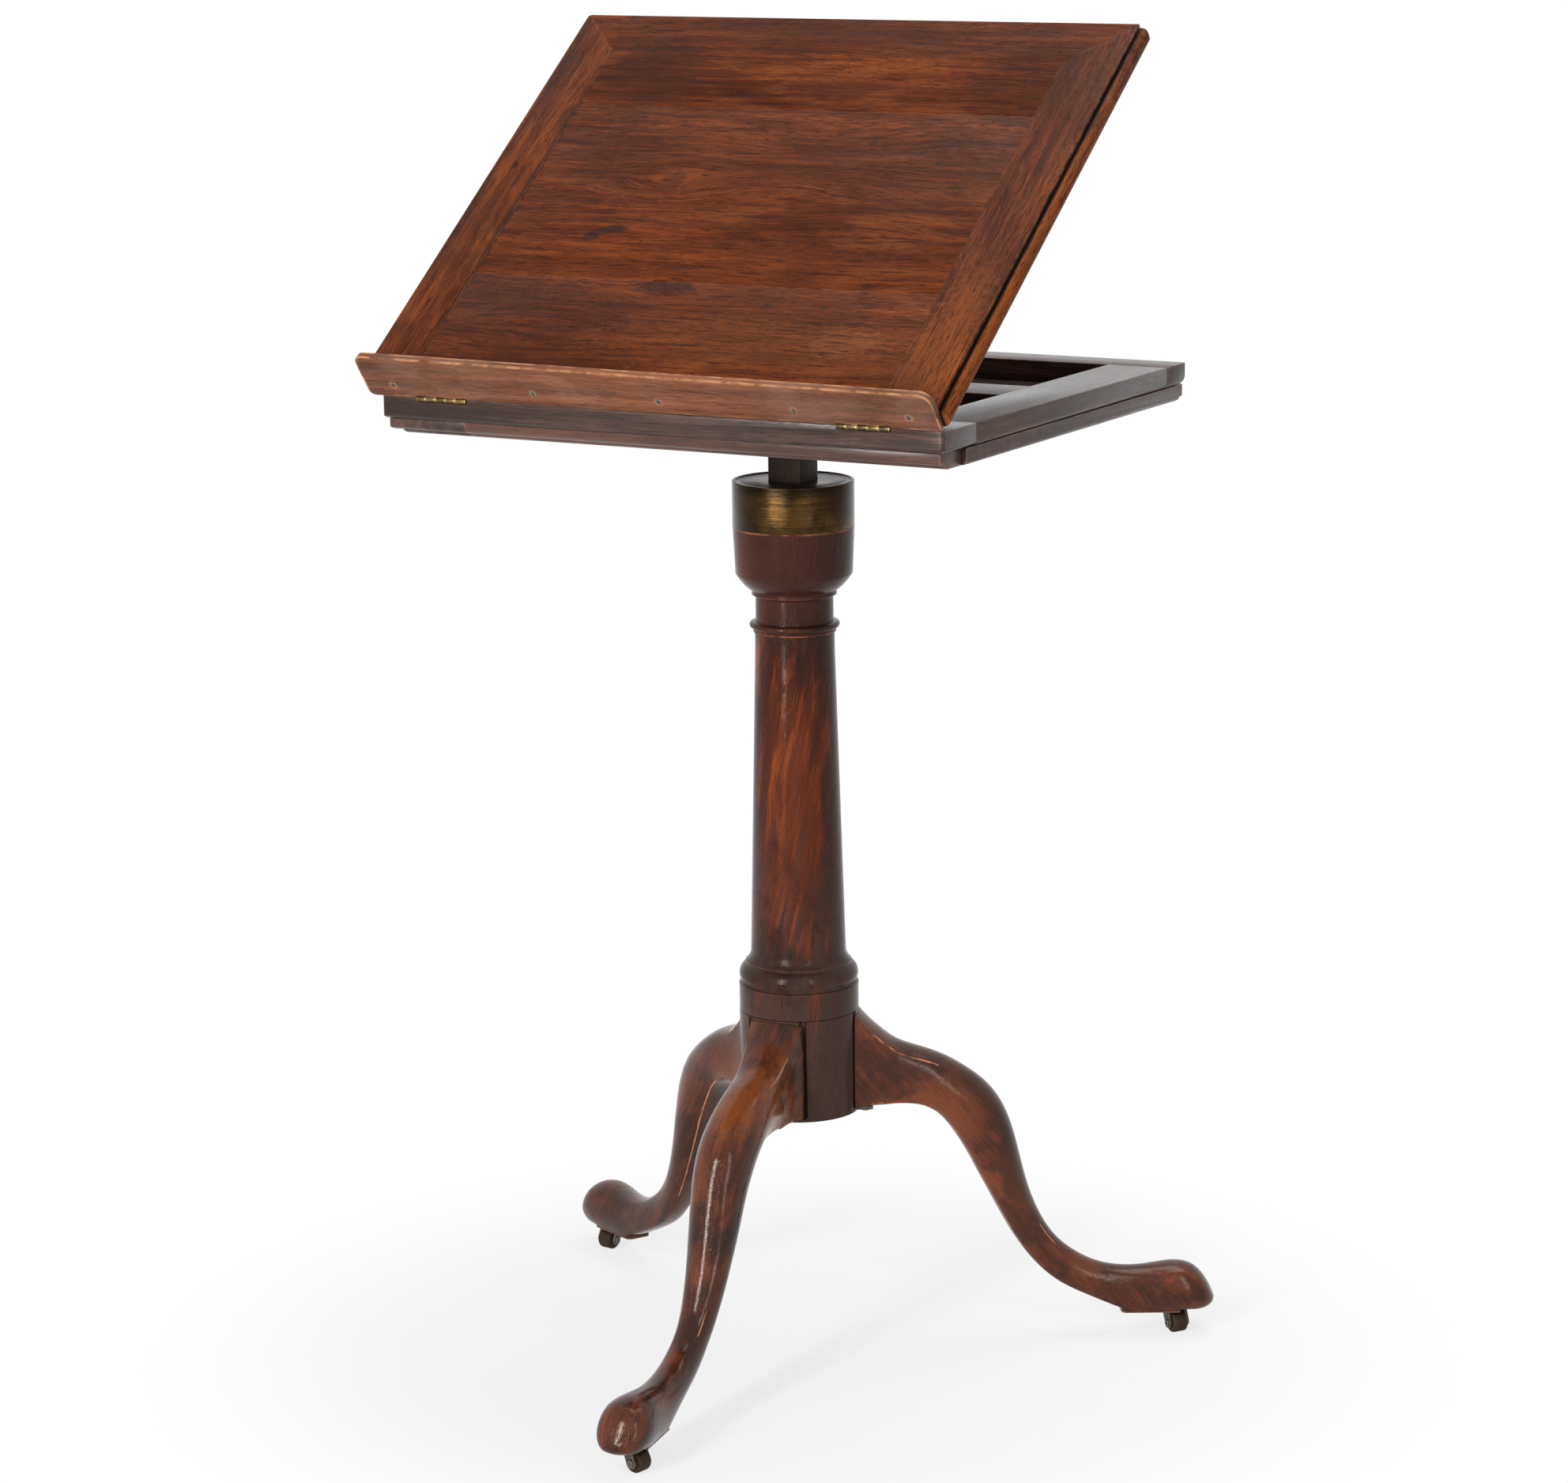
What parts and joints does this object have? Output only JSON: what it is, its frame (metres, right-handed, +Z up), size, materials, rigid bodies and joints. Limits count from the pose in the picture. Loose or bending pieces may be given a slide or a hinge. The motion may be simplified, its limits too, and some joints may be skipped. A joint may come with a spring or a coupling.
{
  "type": "book stand",
  "caption": "Adjustable reading stand: tilting slope with book ledge on an open framed top, rising square post in a turned column, tripod of cabriole legs on castors.",
  "frame": {"origin": "on the floor, under the axis of the column", "axes": "+X to the reader's right along the ledge, +Y away from the reader, +Z up"},
  "size_m": [0.554, 0.5212, 1.0064],
  "materials": {
    "column_wood": "dark red-brown turned mahogany, polished, lighter on the worn edges",
    "leg_wood": "dark red-brown carved mahogany, polished, orange where the knees and arrises are rubbed",
    "cap_wood": "near-black turned wood, waxed",
    "old_brass": "old brass with dark patina and fine scratches round it",
    "wrought_iron": "dark forged iron, dull",
    "iron_screws": "dark hand-cut steel screws",
    "black_wood": "ebonised hardwood, matt, rubbed on the edges",
    "guide_wood": "plain turned hardwood, dry",
    "spring_steel": "blued spring steel",
    "board_wood": "dark mahogany, waxed, light on the rubbed edges",
    "board_strip_wood": "mahogany a little redder than the board",
    "frame_wood": "near-black brown mahogany with a soft sheen and rubbed arrises",
    "strut_wood": "plain waxed mahogany",
    "hinge_brass": "old brass, dull and dark in the corners",
    "bracket_brass": "old cast brass, dull",
    "hinge_pin_steel": "dull steel pin",
    "brass_screws": "old brass screws",
    "slope_wood": "warm orange-brown mahogany, polished, horizontal grain, small dark stains",
    "clamp_wood": "orange-brown mahogany, polished, grain along the clamp",
    "ledge_wood": "redder brown mahogany, rubbed light along its edges",
    "castor_iron": "dark iron with brown rust in the corners",
    "castor_wheel": "dark hardwood roller, worn"
  },
  "bodies": {
    "base": {"column": "column_wood", "brass_band": "old_brass", "collar_cap": "cap_wood", "leg_front": "leg_wood", "leg_right": "leg_wood", "leg_left": "leg_wood", "iron_strap": "wrought_iron", "strap_screws": "iron_screws", "castor_plate_front": "castor_iron", "castor_plate_right": "castor_iron", "castor_plate_left": "castor_iron"},
    "top": {"post": "black_wood", "post_guide": "guide_wood", "post_springs": "spring_steel", "post_screw": "iron_screws", "board_left_clamp": "board_wood", "board_front_strip": "board_strip_wood", "board_main": "board_wood", "frame_front_rail": "frame_wood", "frame_back_rail": "frame_wood", "frame_left_rail": "frame_wood", "frame_right_rail": "frame_wood", "frame_cross_rail": "frame_wood", "frame_screws": "iron_screws", "ratchet_left": "strut_wood", "ratchet_right": "strut_wood", "hinge_lower_leaf_left": "hinge_brass", "hinge_lower_leaf_right": "hinge_brass", "hinge_pin_left": "hinge_pin_steel", "hinge_pin_right": "hinge_pin_steel", "hinge_lower_screws": "brass_screws"},
    "slope": {"slope_board_lower": "slope_wood", "slope_board_middle": "slope_wood", "slope_board_upper": "slope_wood", "slope_clamp_left": "clamp_wood", "slope_clamp_right": "clamp_wood", "ledge": "ledge_wood", "ledge_screws": "iron_screws", "hinge_upper_leaf_left": "hinge_brass", "hinge_upper_leaf_right": "hinge_brass", "hinge_upper_screws": "brass_screws", "strut_bracket_left": "bracket_brass", "strut_bracket_right": "bracket_brass", "strut_pivot_pins": "hinge_pin_steel", "bracket_screws": "brass_screws"},
    "strut": {"strut_arm_left": "strut_wood", "strut_arm_right": "strut_wood", "strut_foot_bar": "strut_wood"},
    "castor_front": {"castor_horn_front": "castor_iron", "castor_axle_front": "castor_iron"},
    "wheel_front": {"castor_wheel_front": "castor_wheel"},
    "castor_right": {"castor_horn_right": "castor_iron", "castor_axle_right": "castor_iron"},
    "wheel_right": {"castor_wheel_right": "castor_wheel"},
    "castor_left": {"castor_horn_left": "castor_iron", "castor_axle_left": "castor_iron"},
    "wheel_left": {"castor_wheel_left": "castor_wheel"}
  },
  "joints": [
    {"name": "post_lift", "type": "slide", "parent": "base", "child": "top", "axis": [0, 0, 1], "range_m": [-0.045, 0.2]},
    {"name": "slope_tilt", "type": "hinge", "parent": "top", "child": "slope", "pos_m": [0, -0.2013, 0.7496], "axis": [1, 0, 0], "range_deg": [-36.4, 8.6]},
    {"name": "strut_fold", "type": "hinge", "parent": "slope", "child": "strut", "pos_m": [0, -0.06043, 0.84837], "axis": [1, 0, 0], "range_deg": [-17.2, 72.8]},
    {"name": "castor_swivel_front", "type": "hinge", "parent": "base", "child": "castor_front", "pos_m": [0.01815, -0.28843, 0.02], "axis": [0, 0, 1], "continuous": true},
    {"name": "wheel_spin_front", "type": "hinge", "parent": "castor_front", "child": "wheel_front", "pos_m": [0.02403, -0.28962, 0.008], "axis": [0.1977, 0.9803, 0], "continuous": true},
    {"name": "castor_swivel_right", "type": "hinge", "parent": "base", "child": "castor_right", "pos_m": [0.2403, 0.16056, 0.02], "axis": [0, 0, 1], "continuous": true},
    {"name": "wheel_spin_right", "type": "hinge", "parent": "castor_right", "child": "wheel_right", "pos_m": [0.24513, 0.15701, 0.008], "axis": [0.5913, 0.8064, 0], "continuous": true},
    {"name": "castor_swivel_left", "type": "hinge", "parent": "base", "child": "castor_left", "pos_m": [-0.25374, 0.13834, 0.02], "axis": [0, 0, 1], "continuous": true},
    {"name": "wheel_spin_left", "type": "hinge", "parent": "castor_left", "child": "wheel_left", "pos_m": [-0.25463, 0.13241, 0.008], "axis": [0.9888, -0.1495, 0], "continuous": true}
  ],
  "couplings": [
    {"joint": "strut_fold", "follows": "slope_tilt", "ratio": -2}
  ]
}
